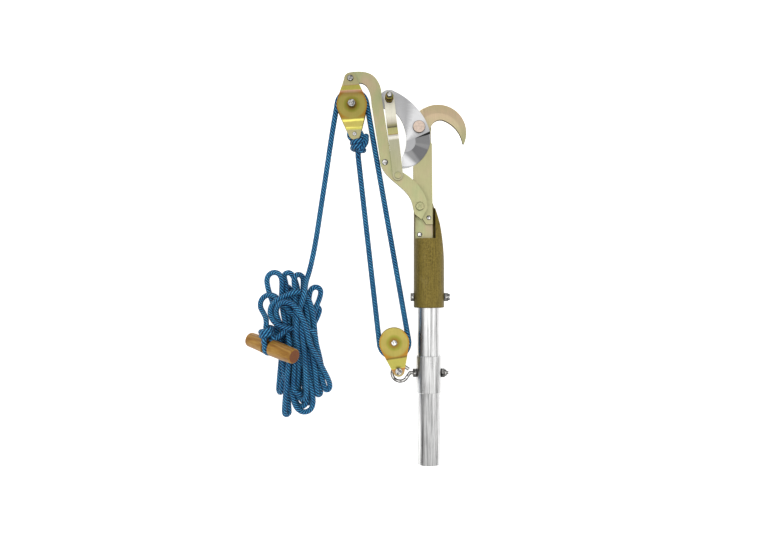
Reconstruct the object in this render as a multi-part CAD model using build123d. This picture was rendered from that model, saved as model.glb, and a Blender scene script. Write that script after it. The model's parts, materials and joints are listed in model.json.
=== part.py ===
from build123d import *
import os
from math import acos, atan2, cos, degrees, hypot, radians, sin, tan

# Rope-operated pole pruner head on a short pole adapter, lying flat on its back.
# Millimetres. +Y runs up the pole to the hook, +X is the side the hook opens to, +Z is the front.
# The origin is on the pole's axis at the free lower end of the adapter's tube.

# ---------------------------------------------------------------- driving dimensions
GROUND = -20.9                # the plane it lies on
SPIGOT_R = 15.875             # 1 1/4 inch free end that slides into a pole
TUBE_R = 15.7                 # the rest of the adapter tube, drawn down a little
TUBE_BORE_R = 14.2
TUBE_TOP = 262.0
FERRULE_R = 17.4
FERRULE_BOTTOM = 98.5
FERRULE_TOP = 149.2
SLIDE_GAP = 0.05              # between the tube and what is slid over it

SOCKET_R = 20.9
SOCKET_BOTTOM = 215.4
SHOULDER = 310.2              # the pocket for the plates starts here
SOCKET_TOP = 361.0
POCKET_LEFT = -19.2
POCKET_RIGHT = 8.0
CROSS_BOLT_Y = 229.9
EYEBOLT_Y = 125.4

TANG_BACK = -6.0              # the two plates are stacked from here
PLATE_SPLIT = 0.0
HOOK_FRONT = 6.4
BLADE_BACK = 6.7
BLADE_FRONT = 11.7
LEVER_BACK = 12.0
LEVER_FRONT = 17.2
STRAP_T = 3.0
LINK_BACK_UP = 12.0           # the link's upper half lies on the blade
LINK_BACK_LOW = 17.5          # and its lower half on the lever

BLADE_PIVOT = (-14.4, 462.1)
LEVER_PIVOT = (-13.3, 353.4)
LINK_TOP = (-55.0, 499.5)
LINK_FOOT = (-43.3, 395.0)
STUD_SHOULDER = 39.0           # the stud's height below its rounded end
LEVER_RIVET = (-60.7, 413.1)
PLATE_RIVETS = [(-12.7, 316.0), (-0.6, 338.8)]
RIVET_SEAT = -13.0            # recesses in the back of the casting
PIVOT_SEAT = -11.0

ROPE_D = 7.4
ROPE_R = ROPE_D / 2
REEVE_R = 20.3                # the rope's centre line round either sheave
SHEAVE_R = 19.6
SHEAVE_HALF = 5.8
CHEEK_T = 2.5
CHEEK_R = 20.6
TAB_R = 7.9
CHEEK_GAP = 6.2               # half the room for the sheave
TAB_GAP = 3.0                 # half the room for the lever or the eye
BECKET_GAP = 4.2              # half the room for the tied rope

UPPER_Z = (LEVER_BACK + LEVER_FRONT) / 2
UPPER_HANGER = (-107.7, 526.5)
UPPER_SHEAVE = (-105.6, 490.5)
BECKET = (-101.8, 451.0)
LOWER_HANGER = (-41.7, 128.2)
LOWER_SHEAVE = (-48.0, 167.1)
EYE_CENTRE = (-39.7, 125.0)
EYE_R = 11.15
EYE_WIRE_R = 2.35
KNOT_FOOT = (-97.1, 420.4, 12.7)

HANDLE_FOOT = (-248.8, 170.4, -12.6)
HANDLE_HEAD = (-180.9, 151.8, 40.5)
HANDLE_R = 11.3
HANDLE_END_R = 10.2
GROOVE_R = 4.8                 # to the groove's floor
GROOVE_HALF = 5.2              # half its width
GROOVE_AT = 0.45              # share of the handle's length

RUN = 0.06                    # radial play of the running fits
PLAY = 0.15                   # radial play of a bolt in its hole
ROPE_JOINT = 0.5              # room between lengths of rope that move apart

parts = {}


# ---------------------------------------------------------------- helpers
def rod(radius, z_low, z_high, at):
    """A round bar along Z."""
    return Pos(at[0], at[1], (z_low + z_high) / 2) * Cylinder(radius, z_high - z_low)


def cross_rod(radius, x_low, x_high, y):
    """A round bar along X at the pole's height."""
    bar = Rot(0, 90, 0) * Cylinder(radius, x_high - x_low)
    return Pos((x_low + x_high) / 2, y, 0) * bar


def pole_rod(radius, y_low, y_high):
    """A round bar along the pole's axis."""
    bar = Rot(90, 0, 0) * Cylinder(radius, y_high - y_low)
    return Pos(0, (y_low + y_high) / 2, 0) * bar


def hexagon(across, height, bore=0.0):
    """A chamfered hexagon standing on z = 0."""
    prism = extrude(RegularPolygon(across / 2, 6, major_radius=False), height)
    turned = Pos(0, 0, height / 2) * Cylinder(across * 0.56, height)
    turned = chamfer(turned.edges().filter_by(GeomType.CIRCLE), across * 0.07)
    nut = prism & turned
    if bore:
        nut -= Pos(0, 0, height / 2) * Cylinder(bore, height + 1)
    return nut


def dome(radius, height, edge):
    """A round head standing on z = 0, its upper rim rounded."""
    head = Pos(0, 0, height / 2) * Cylinder(radius, height)
    return fillet(head.edges().filter_by(GeomType.CIRCLE).sort_by(Axis.Z)[-1:], edge)


def ring(radius, bore, height):
    """A flat ring standing on z = 0."""
    return Pos(0, 0, height / 2) * (Cylinder(radius, height) - Cylinder(bore, height + 1))


def slab(edges, z_low, z_high):
    """The flat figure inside the edges, from one height to another."""
    return extrude(Pos(0, 0, z_low) * make_face(edges), z_high - z_low)


def taper_figure(start, start_r, end, end_r):
    """Two circles and the straight sides that touch both."""
    along = atan2(end[1] - start[1], end[0] - start[0])
    length = hypot(end[0] - start[0], end[1] - start[1])
    lean = acos((start_r - end_r) / length)
    corners = []
    for (x, y), r, side in [(start, start_r, 1), (end, end_r, 1), (end, end_r, -1), (start, start_r, -1)]:
        turn = along + side * lean
        corners.append((x + r * cos(turn), y + r * sin(turn)))
    sides = make_face(Polyline(*corners, close=True))
    return sides + Pos(*start) * Circle(start_r) + Pos(*end) * Circle(end_r)


def bent_strip(inner, thickness, half_width):
    """A strip along Y with joggles, whose inner face passes through the (y, z) points."""
    outer = [(y, z + thickness) for y, z in reversed(inner)]
    side = Plane.YZ * make_face(Polyline(*inner, *outer, close=True))
    return extrude(side, half_width, both=True)


def arc_radii(points):
    """The largest arc that both runs leave room for at each inner corner of a route."""
    radii = []
    for before, here, after in zip(points, points[1:], points[2:]):
        a = Vector(*here) - Vector(*before)
        b = Vector(*after) - Vector(*here)
        half_turn = radians(a.get_angle(b)) / 2
        radii.append(0.45 * min(a.length, b.length) / tan(half_turn))
    return radii


def rope_tube(name, points):
    """A free stretch of rope: straight runs joined by tangent arcs."""
    radii = arc_radii(points)
    path = FilletPolyline(*points, radius=radii)
    tube = sweep(Plane(path @ 0, z_dir=path % 0) * Circle(ROPE_R), path=path)
    expected = 3.14159265 * ROPE_R ** 2 * path.length
    print(name, "length", round(path.length, 1), "radii", [round(r) for r in radii],
          "volume share", round(tube.volume / expected, 3))
    return tube


def rope_arc(centre, z, start_deg, turn_deg):
    """The rope lying round a sheave."""
    path = CenterArc((centre[0], centre[1], z), REEVE_R, start_deg, turn_deg)
    return sweep(Plane(path @ 0, z_dir=path % 0) * Circle(ROPE_R), path=path)


def straight_rope(start, end, short_start, short_end):
    """A taut stretch of rope, held a little short where the rope goes on in another body."""
    axis = Vector(*end) - Vector(*start)
    plane = Plane(Vector(*start), z_dir=axis).offset(short_start)
    return extrude(plane * Circle(ROPE_R), axis.length - short_start - short_end)


# ---------------------------------------------------------------- pole adapter
def adapter_tube():
    tube = pole_rod(SPIGOT_R, 0, FERRULE_BOTTOM) + pole_rod(TUBE_R, FERRULE_BOTTOM, TUBE_TOP)
    tube -= pole_rod(TUBE_BORE_R, -1, TUBE_TOP + 1)
    tube -= cross_rod(3.0 + PLAY, -30, 30, CROSS_BOLT_Y)
    tube -= cross_rod(EYE_WIRE_R + PLAY, -30, 30, EYEBOLT_Y)
    return tube


def ferrule():
    sleeve = pole_rod(FERRULE_R, FERRULE_BOTTOM, FERRULE_TOP)
    sleeve = chamfer(sleeve.edges().filter_by(GeomType.CIRCLE), 0.5)
    sleeve -= pole_rod(TUBE_R + SLIDE_GAP, FERRULE_BOTTOM - 1, FERRULE_TOP + 1)
    sleeve -= cross_rod(EYE_WIRE_R + PLAY, -30, 30, EYEBOLT_Y)
    return sleeve


def eyebolt():
    """The shank bends down into an eye whose free end comes back to the shank."""
    shank = cross_rod(EYE_WIRE_R, -26.0, 27.0, EYEBOLT_Y)
    gap_deg = 46
    circle = CenterArc((*EYE_CENTRE, 0), EYE_R, gap_deg, 360 - 2 * gap_deg)
    eye = sweep(Plane(circle @ 0, z_dir=circle % 0) * Circle(EYE_WIRE_R), path=circle)
    shank_end = Vector(-26.0, EYEBOLT_Y, 0)
    neck_axis = shank_end - (circle @ 1)
    neck = extrude(Plane(circle @ 1, z_dir=neck_axis) * Circle(EYE_WIRE_R), neck_axis.length)
    tip_axis = Vector(-27.6, EYEBOLT_Y + 4.9, 0) - (circle @ 0)
    tip = extrude(Plane(circle @ 0, z_dir=tip_axis) * Circle(EYE_WIRE_R), tip_axis.length)
    bolt = shank + eye + neck + tip
    for joint in [shank_end, circle @ 0, circle @ 1]:
        bolt += Pos(joint) * Sphere(EYE_WIRE_R)
    return bolt


parts["adapter_tube"] = adapter_tube()
parts["ferrule"] = ferrule()
parts["eyebolt"] = eyebolt()
NUT_TURN_LEFT = Rot(0, -90, 0)
NUT_TURN_RIGHT = Rot(0, 90, 0)
parts["eyebolt_jam_nut"] = Pos(-FERRULE_R, EYEBOLT_Y, 0) * NUT_TURN_LEFT * hexagon(11.2, 4.8, EYE_WIRE_R)
lock_nut = hexagon(12.0, 4.4, EYE_WIRE_R) + Pos(0, 0, 4.4) * ring(4.6, EYE_WIRE_R, 2.4)
parts["eyebolt_lock_nut"] = Pos(FERRULE_R, EYEBOLT_Y, 0) * NUT_TURN_RIGHT * lock_nut


# ---------------------------------------------------------------- socket casting
def socket_casting():
    """A cast barrel round the tube that runs up into a half-open pocket for the plates."""
    barrel = pole_rod(SOCKET_R, SOCKET_BOTTOM, SOCKET_TOP)
    barrel = fillet(barrel.edges().filter_by(GeomType.CIRCLE).sort_by(Axis.Y)[:1], 1.2)
    right_edge = Spline((SOCKET_R, 276), (17.6, 310), (12.6, 336), (5.2, SOCKET_TOP))
    front_view = slab(
        [
            Line((-22, 200), (22, 200)),
            Line((22, 200), (22, 276)),
            Line((22, 276), (SOCKET_R, 276)),
            right_edge,
            Line((5.2, SOCKET_TOP), (-22, SOCKET_TOP - 6)),
            Line((-22, SOCKET_TOP - 6), (-22, 200)),
        ],
        -30,
        30,
    )
    side_view = Plane.YZ * make_face(
        Polyline((200, -30), (300, -21.2), (SOCKET_TOP, -12.5), (SOCKET_TOP + 1, 4.0),
                 (SHOULDER + 8, 19.5), (SHOULDER, 22), (200, 22), close=True)
    )
    body = barrel & front_view & extrude(side_view, 30, both=True)
    pocket = Box(POCKET_RIGHT - POCKET_LEFT, 80, 40, align=(Align.MIN, Align.MIN, Align.MIN))
    body -= Pos(POCKET_LEFT, SHOULDER, TANG_BACK) * pocket
    body -= pole_rod(TUBE_R + SLIDE_GAP, SOCKET_BOTTOM - 1, TUBE_TOP + 4)
    # plain cross ribs on the front of the barrel, for grip
    rib_count = 11
    for i in range(rib_count):
        rib = Box(11.0, 2.6, 6.0)
        at_y = 235.0 + i * 6.0
        shell = pole_rod(SOCKET_R + 0.55, at_y - 3, at_y + 3) - pole_rod(SOCKET_R - 1.0, at_y - 4, at_y + 4)
        body += shell & (Pos(-1.5, at_y, SOCKET_R) * rib)
    body -= cross_rod(3.0 + PLAY, -30, 30, CROSS_BOLT_Y)
    for at in PLATE_RIVETS:
        body -= rod(2.4 + PLAY, GROUND - 5, 0, at) + rod(3.6, GROUND - 5, RIVET_SEAT, at)
    body -= rod(3.0 + PLAY, GROUND - 5, 0, LEVER_PIVOT) + rod(7.2, GROUND - 5, PIVOT_SEAT, LEVER_PIVOT)
    return body


def cross_bolt():
    bolt = cross_rod(3.0, -SOCKET_R, 29.0, CROSS_BOLT_Y)
    head = Rot(0, -90, 0) * hexagon(11.0, 4.4)
    return bolt + Pos(-SOCKET_R, CROSS_BOLT_Y, 0) * head


parts["socket_casting"] = socket_casting()
parts["cross_bolt"] = cross_bolt()
nylon_nut = hexagon(11.0, 5.6, 3.0) + Pos(0, 0, 5.6) * ring(4.7, 3.0, 2.2)
parts["cross_nut"] = Pos(SOCKET_R, CROSS_BOLT_Y, 0) * NUT_TURN_RIGHT * nylon_nut


# ---------------------------------------------------------------- plates and hook
def tang_plate():
    """The backing plate in the pocket, up behind the blade's pivot."""
    right = 5.4
    plate = slab(
        [
            Line((-19.0, SHOULDER + 0.6), (right, SHOULDER + 0.6)),
            Line((right, SHOULDER + 0.6), (2.6, 458)),
            ThreePointArc((2.6, 458), (-9, 474), (-21, 458)),
            Line((-21, 458), (-21, 367)),
            Line((-21, 367), (-19.0, 362)),
            Line((-19.0, 362), (-19.0, SHOULDER + 0.6)),
        ],
        TANG_BACK,
        PLATE_SPLIT,
    )
    for at in PLATE_RIVETS:
        plate -= rod(2.4 + PLAY, -10, 10, at)
    plate -= rod(4.0 + PLAY, -10, 10, BLADE_PIVOT)
    plate -= rod(3.0 + PLAY, -10, 10, LEVER_PIVOT)
    return plate


def hook_plate():
    """A flat bar that runs up into a C-shaped hook with a bevelled back."""
    edges = [
        Line((-4.0, 329.6), (4.9, 329.6)),
        Line((4.9, 329.6), (3.8, 440.0)),
        Spline((3.8, 440.0), (0.8, 459.9), (7.2, 470.3), (18.2, 472.9)),
        ThreePointArc((18.2, 472.9), (36.5, 460.6), (46.0, 440.2)),
        Line((46.0, 440.2), (47.9, 440.0)),
        ThreePointArc((47.9, 440.0), (38.3, 484.5), (-13.4, 484.9)),
        Spline((-13.4, 484.9), (-19.6, 475.0), (-21.8, 462.0)),
        Line((-21.8, 462.0), (-21.8, 367.0)),
        Line((-21.8, 367.0), (-18.8, 362.0)),
        Line((-18.8, 362.0), (-18.8, 351.0)),
        Line((-18.8, 351.0), (-4.0, 329.6)),
    ]
    plate = slab(edges, PLATE_SPLIT, HOOK_FRONT)
    # the outer band of the hook falls away towards its back edge
    bevel_centre = (12.5, 449.5)
    depth = 2.2
    bevel = make_face(
        Polyline((32.5, HOOK_FRONT), (50, HOOK_FRONT - depth * 1.6), (50, 12), (32.5, 12), close=True)
    )
    cutter = revolve(Plane.XZ * bevel, Axis.Z, 360)
    above = Pos(bevel_centre[0] + 40, bevel_centre[1] + 45, HOOK_FRONT) * Box(120, 110, 20)
    plate -= (Pos(*bevel_centre, 0) * cutter) & above
    plate -= rod(2.4 + PLAY, -10, 10, PLATE_RIVETS[1])
    plate -= rod(4.0 + PLAY, -10, 10, BLADE_PIVOT)
    plate -= rod(3.0 + PLAY, -10, 10, LEVER_PIVOT)
    return plate


def plate_rivet(at, front, head_r):
    """A rivet from the back of the casting to the front of its plate."""
    shank = rod(2.4, RIVET_SEAT, front, at)
    front_head = Pos(at[0], at[1], front) * dome(head_r, 1.8, 1.2)
    back_head = Pos(at[0], at[1], RIVET_SEAT) * Rot(180, 0, 0) * dome(3.2, 1.0, 0.6)
    return shank + front_head + back_head


parts["tang_plate"] = tang_plate()
parts["hook_plate"] = hook_plate()
parts["plate_rivets"] = Compound(
    children=[
        plate_rivet(PLATE_RIVETS[0], PLATE_SPLIT, 3.4),
        plate_rivet(PLATE_RIVETS[1], HOOK_FRONT, 3.1),
    ]
)


# ---------------------------------------------------------------- blade
def cutting_blade():
    """A C-shaped blade, hollow-ground on its lower right side down to the cutting edge."""
    tail_r = 13.6
    edges = [
        ThreePointArc((-51.3, 512.6), (-66.6, 506.6), (-61.5, 487.5)),
        Spline((-61.5, 487.5), (-53.0, 486.6), (-44.6, 480.3), (-35.0, 463.8), (-31.5, 446.0), (-37.4, 421.5)),
        Line((-37.4, 421.5), (-37.0, 405.9)),
        Spline((-37.0, 405.9), (-21.8, 409.6), (-6.2, 423.6), (1.0, 440.0), (0.3, 457.0)),
        Spline((0.3, 457.0), (-13.3, 483.6), (-30.6, 500.6), (-51.3, 512.6)),
    ]
    blade = slab(edges, BLADE_BACK, BLADE_FRONT)
    blade += Pos(0, 0, BLADE_BACK) * extrude(Pos(*LINK_TOP) * Circle(tail_r), BLADE_FRONT - BLADE_BACK)
    # the grinding cone starts at the middle of the C and leaves a thin edge
    edge_t = 0.7
    cone = make_face(
        Polyline((14.0, BLADE_FRONT), (33.5, BLADE_BACK + edge_t), (45, BLADE_BACK + edge_t - 1.2),
                 (45, 20), (14.0, 20), close=True)
    )
    cutter = revolve(Plane.XZ * cone, Axis.Z, 360)
    step_deg = 25.3
    step_lean_deg = 32.0
    below_step = (
        Pos(-18.1, 447.5, BLADE_FRONT) * Rot(0, 0, step_deg) * Rot(-step_lean_deg, 0, 0)
        * Pos(-5, -50, 0) * Box(100, 100, 60)
    )
    blade -= (Pos(-33.0, 442.0, 0) * cutter) & below_step
    blade -= rod(4.0 + RUN, 0, 20, BLADE_PIVOT)
    blade -= rod(4.4, 0, 20, LINK_TOP)
    return blade


def blade_pivot_bolt():
    bolt = rod(4.0, GROUND, BLADE_FRONT + 0.3, BLADE_PIVOT)
    head = Pos(BLADE_PIVOT[0], BLADE_PIVOT[1], BLADE_FRONT + 0.3) * dome(8.4, 4.6, 0.9)
    return bolt + head


parts["cutting_blade"] = cutting_blade()
parts["blade_pivot_bolt"] = blade_pivot_bolt()
parts["blade_pivot_washer"] = Pos(*BLADE_PIVOT, PLATE_SPLIT + HOOK_FRONT) * ring(8.5, 4.0, 0.2)
parts["blade_pivot_nut"] = Pos(*BLADE_PIVOT, TANG_BACK) * Rot(180, 0, 0) * hexagon(16.0, 9.0, 4.0)


# ---------------------------------------------------------------- lever
def lever_arm():
    """An S-shaped bar: it leaves its pivot to the left, runs up beside the blade and hooks over."""
    edges = [
        Line((-11.2, 335.6), (-20.4, 342.9)),
        Line((-20.4, 342.9), (-22.7, 352.3)),
        Spline((-22.7, 352.3), (-39.5, 379.3), (-61.8, 400.4), (-67.8, 420.0)),
        Line((-67.8, 420.0), (-79.2, 494.0)),
        Spline((-79.2, 494.0), (-81.6, 508.6), (-86.4, 517.2), (-98.0, 520.6)),
        Line((-98.0, 520.6), (-104.0, 518.7)),
        ThreePointArc((-104.0, 518.7), (-116.3, 526.3), (-108.5, 535.2)),
        Spline((-108.5, 535.2), (-96.0, 536.3), (-78.5, 532.0), (-68.4, 519.4), (-65.6, 504.0)),
        Line((-65.6, 504.0), (-55.0, 436.0)),
        Spline((-55.0, 436.0), (-52.5, 421.0), (-45.0, 406.0), (-30.8, 395.7), (-12.7, 378.4), (-2.9, 351.2)),
        Line((-2.9, 351.2), (-11.2, 335.6)),
    ]
    arm = slab(edges, LEVER_BACK, LEVER_FRONT)
    arm -= rod(3.0 + RUN, 0, 30, LEVER_PIVOT)
    arm -= rod(2.6, 0, 30, LEVER_RIVET)
    arm -= rod(3.0, 0, 30, LINK_FOOT)
    arm -= rod(3.0 + PLAY, 0, 30, UPPER_HANGER)
    return arm


def lever_pivot_screw():
    """A pan head with a cross recess, its shank through the lever and both plates."""
    shank = rod(3.0, PIVOT_SEAT - 5.4, LEVER_FRONT + 0.3, LEVER_PIVOT)
    head = dome(5.8, 3.1, 1.4)
    for turn in (40, 130):
        head -= Rot(0, 0, turn) * Pos(0, 0, 3.1) * Box(6.4, 1.3, 2.6)
    return shank + Pos(*LEVER_PIVOT, LEVER_FRONT + 0.3) * head


def return_spring():
    """A wire ring round the spacer, open at the bottom, with two legs that bear on the plates."""
    wire_r = 0.75
    ring_r = 5.5
    half_gap_deg = 24
    leg = 8.0
    z = 9.2
    coil = CenterArc((*LEVER_PIVOT, z), ring_r, -90 + half_gap_deg, 360 - 2 * half_gap_deg)
    wire = sweep(Plane(coil @ 0, z_dir=coil % 0) * Circle(wire_r), path=coil)
    for end in (coil @ 0, coil @ 1):
        straight = Pos(end.X, end.Y - leg / 2, z) * Rot(90, 0, 0) * Cylinder(wire_r, leg)
        wire = wire + straight + Pos(end) * Sphere(wire_r)
    return wire


parts["lever_arm"] = lever_arm()
parts["lever_rivet"] = (
    rod(2.6, LEVER_BACK, LEVER_FRONT, LEVER_RIVET)
    + Pos(*LEVER_RIVET, LEVER_FRONT) * dome(4.1, 1.7, 1.2)
)
parts["lever_pivot_screw"] = lever_pivot_screw()
parts["lever_spacer"] = Pos(*LEVER_PIVOT, HOOK_FRONT) * ring(4.5, 3.0, LEVER_BACK - HOOK_FRONT - 0.2)
parts["lever_pivot_nut"] = Pos(*LEVER_PIVOT, PIVOT_SEAT) * Rot(180, 0, 0) * hexagon(11.0, 4.6, 3.0)
parts["return_spring"] = return_spring()


# ---------------------------------------------------------------- link
def link_strap():
    """A strap with one joggle, from the blade's tail down over the lever."""
    length = hypot(LINK_TOP[0] - LINK_FOOT[0], LINK_TOP[1] - LINK_FOOT[1])
    half = 7.0
    low = LINK_BACK_UP
    high = LINK_BACK_LOW
    strip = bent_strip([(8, low), (-38, low), (-52, high), (-length - 8, high)], STRAP_T, 9)
    figure = taper_figure((0, 0), half, (0, -length), half)
    strap = strip & extrude(figure, 40)
    strap -= rod(4.0, 0, 30, (0, 0))
    strap -= rod(3.0 + RUN, 0, 30, (0, -length))
    lean = degrees(atan2(LINK_FOOT[0] - LINK_TOP[0], LINK_TOP[1] - LINK_FOOT[1]))
    return Pos(LINK_TOP[0], LINK_TOP[1], 0) * Rot(0, 0, lean) * strap


def link_stud():
    """The tall stud of the upper joint; its foot stops short of the blade's hole."""
    stud = rod(4.0, LINK_BACK_UP, STUD_SHOULDER, LINK_TOP)
    return stud + Pos(*LINK_TOP, STUD_SHOULDER) * dome(4.0, 4.0, 2.2)


def link_foot_pin():
    front = LINK_BACK_LOW + STRAP_T
    pin = rod(3.0, LEVER_BACK, front + 0.2, LINK_FOOT)
    head = dome(4.6, 1.6, 0.8) - Pos(0, 0, 1.6) * Cylinder(2.4, 1.4)
    return pin + Pos(*LINK_FOOT, front + 0.2) * head


parts["link_strap"] = link_strap()
parts["link_stud"] = link_stud()
parts["link_stud_nut"] = Pos(*LINK_TOP, LINK_BACK_UP + STRAP_T) * hexagon(10.5, 8.0, 4.0)
parts["link_jam_nut"] = Pos(*LINK_TOP, LINK_BACK_UP + STRAP_T + 11.0) * hexagon(10.0, 10.0, 4.0)
parts["blade_tail_bush"] = Pos(*LINK_TOP, BLADE_BACK - 1.4) * (
    ring(7.0, 2.5, 1.4) + Pos(0, 0, 1.4) * ring(4.3, 2.5, 4.6)
)
parts["link_foot_pin"] = link_foot_pin()


# ---------------------------------------------------------------- pulley blocks
def cheek(hanger, sheave, far_end, bends, z_mid, side):
    """One cheek of a block, cut from strip with joggles; bends are (distance, inner gap) pairs."""
    figure = taper_figure(hanger, TAB_R, sheave, CHEEK_R)
    if far_end:
        figure += taper_figure(sheave, CHEEK_R, far_end, TAB_R)
    last = far_end or sheave
    strip = bent_strip([(-along, gap) for along, gap in bends], CHEEK_T, 30)
    if side < 0:
        strip = mirror(strip, about=Plane.XY)
    lean = degrees(atan2(last[0] - hanger[0], hanger[1] - last[1]))
    strip = Pos(hanger[0], hanger[1], z_mid) * Rot(0, 0, lean) * strip
    return strip & extrude(Pos(0, 0, z_mid - 20) * figure, 40)


def sheave_wheel(centre, z_mid):
    """A grooved wheel with a lightly dished web."""
    groove_r = ROPE_R + 0.35
    wheel = Cylinder(SHEAVE_R, 2 * SHEAVE_HALF)
    wheel -= Torus(REEVE_R, groove_r)
    wheel -= Cylinder(3.2 + RUN, 4 * SHEAVE_HALF)
    for face_z in (-SHEAVE_HALF, SHEAVE_HALF):
        wheel -= Pos(0, 0, face_z) * (Cylinder(14.0, 1.6) - Cylinder(6.5, 2.0))
    return Pos(centre[0], centre[1], z_mid) * wheel


# upper block: a joggle below the hanger and another above the becket
upper_bends = [(-9, TAB_GAP), (9, TAB_GAP), (16.4, CHEEK_GAP), (56.5, CHEEK_GAP), (67.5, BECKET_GAP), (85, BECKET_GAP)]
for name, side in [("upper_front_cheek", 1), ("upper_rear_cheek", -1)]:
    plate = cheek(UPPER_HANGER, UPPER_SHEAVE, BECKET, upper_bends, UPPER_Z, side)
    plate -= rod(3.0, -40, 60, UPPER_HANGER)
    plate -= rod(3.2, -40, 60, UPPER_SHEAVE)
    plate -= rod(2.0, -40, 60, BECKET)
    parts[name] = plate

tab_face = TAB_GAP + CHEEK_T
cheek_face = CHEEK_GAP + CHEEK_T
becket_face = BECKET_GAP + CHEEK_T
parts["upper_sheave"] = sheave_wheel(UPPER_SHEAVE, UPPER_Z)
parts["upper_hanger_bolt"] = (
    rod(3.0, UPPER_Z - tab_face - 4.2, UPPER_Z + tab_face, UPPER_HANGER)
    + Pos(*UPPER_HANGER, UPPER_Z + tab_face) * dome(4.2, 3.0, 1.5)
)
parts["upper_hanger_nut"] = Pos(*UPPER_HANGER, UPPER_Z - tab_face) * Rot(180, 0, 0) * hexagon(9.5, 3.6, 3.0)
parts["upper_axle_bolt"] = (
    rod(3.2, UPPER_Z - cheek_face, UPPER_Z + cheek_face + 10.5, UPPER_SHEAVE)
    + Pos(*UPPER_SHEAVE, UPPER_Z - cheek_face) * Rot(180, 0, 0) * hexagon(10.0, 3.6)
)
axle_nut = hexagon(9.4, 5.4, 3.2)
parts["upper_axle_nut"] = Pos(*UPPER_SHEAVE, UPPER_Z + cheek_face + 4.0) * axle_nut
parts["upper_axle_sleeve"] = Pos(*UPPER_SHEAVE, UPPER_Z + cheek_face) * ring(4.1, 3.2, 4.0)
parts["becket_rivet"] = (
    rod(2.0, UPPER_Z - becket_face, UPPER_Z + becket_face, BECKET)
    + Pos(*BECKET, UPPER_Z + becket_face) * dome(2.9, 1.2, 0.8)
    + Pos(*BECKET, UPPER_Z - becket_face) * Rot(180, 0, 0) * dome(2.9, 1.2, 0.8)
)

# lower block: one joggle, and tabs that straddle the eye
lower_bends = [(9, TAB_GAP), (-4.5, TAB_GAP), (-18.5, CHEEK_GAP), (-70, CHEEK_GAP)]
for name, side in [("lower_front_cheek", 1), ("lower_rear_cheek", -1)]:
    bends = [(-along, gap) for along, gap in lower_bends]
    plate = cheek(LOWER_HANGER, LOWER_SHEAVE, None, bends, 0.0, side)
    plate -= rod(3.0, -40, 40, LOWER_HANGER)
    plate -= rod(3.2, -40, 40, LOWER_SHEAVE)
    parts[name] = plate

parts["lower_sheave"] = sheave_wheel(LOWER_SHEAVE, 0.0)
parts["lower_axle_rivet"] = (
    rod(3.2, -cheek_face, cheek_face, LOWER_SHEAVE)
    + Pos(*LOWER_SHEAVE, cheek_face) * dome(3.9, 0.9, 0.5)
    + Pos(*LOWER_SHEAVE, -cheek_face) * Rot(180, 0, 0) * dome(3.9, 0.9, 0.5)
)
parts["lower_hanger_bolt"] = (
    rod(3.0, -tab_face, tab_face + 4.6, LOWER_HANGER)
    + Pos(*LOWER_HANGER, -tab_face) * Rot(180, 0, 0) * hexagon(9.5, 3.6)
    + Pos(*LOWER_HANGER, tab_face + 4.6) * dome(3.0, 1.4, 0.9)
)
parts["lower_hanger_nut"] = Pos(*LOWER_HANGER, tab_face) * hexagon(9.0, 4.0, 3.0)
parts["lower_hanger_bush"] = Pos(*LOWER_HANGER, -TAB_GAP) * ring(4.4, 3.0, 2 * TAB_GAP)


# ---------------------------------------------------------------- rope
fall_x = UPPER_SHEAVE[0] - LOWER_SHEAVE[0]
fall_y = UPPER_SHEAVE[1] - LOWER_SHEAVE[1]
fall_deg = degrees(atan2(fall_y, fall_x))          # direction from the lower sheave to the upper
right_deg = fall_deg - 90
HAUL_DEG = 169.8                                   # where the hauling part leaves the upper sheave
LEAD_DEG = 42.0                                    # the stretch of wrap that swings with it


def on_sheave(centre, z, deg):
    turn = radians(deg)
    return (centre[0] + REEVE_R * cos(turn), centre[1] + REEVE_R * sin(turn), z)


# the standing fall touches the lower sheave on its left
foot_x = KNOT_FOOT[0] - LOWER_SHEAVE[0]
foot_y = KNOT_FOOT[1] - LOWER_SHEAVE[1]
left_deg = degrees(atan2(foot_y, foot_x)) + degrees(acos(REEVE_R / hypot(foot_x, foot_y)))
standing_foot = on_sheave(LOWER_SHEAVE, 0.0, left_deg)
running_foot = on_sheave(LOWER_SHEAVE, 0.0, right_deg)
running_head = on_sheave(UPPER_SHEAVE, UPPER_Z, right_deg)

parts["standing_fall"] = straight_rope(KNOT_FOOT, standing_foot, ROPE_JOINT, 0)
parts["running_fall"] = straight_rope(running_foot, running_head, 0, ROPE_JOINT)
parts["lower_wrap"] = rope_arc(LOWER_SHEAVE, 0.0, left_deg, 360 + right_deg - left_deg)
parts["upper_wrap"] = rope_arc(UPPER_SHEAVE, UPPER_Z, right_deg, HAUL_DEG - LEAD_DEG - right_deg)

HAUL_ROUTE = [
    on_sheave(UPPER_SHEAVE, UPPER_Z, HAUL_DEG),
    (-133.3, 451.0, 10.6),
    (-141.0, 402.0, 4.2),
    (-149.6, 352.0, -4.6),
    (-157.2, 306.0, -12.2),
    (-165.4, 267.0, -14.5),
    (-172.0, 243.0, -7.0),
    (-176.5, 222.0, 1.5),
]
haul = rope_tube("haul_line", HAUL_ROUTE)
parts["haul_line"] = haul + rope_arc(UPPER_SHEAVE, UPPER_Z, HAUL_DEG - LEAD_DEG, LEAD_DEG)


def oval(y, centre_x, half_x, half_z):
    """An upright oval section that stands on the ground plane."""
    plane = Plane((centre_x, y, GROUND + half_z), x_dir=(1, 0, 0), z_dir=(0, 1, 0))
    return plane * Ellipse(half_x, half_z)


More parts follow.
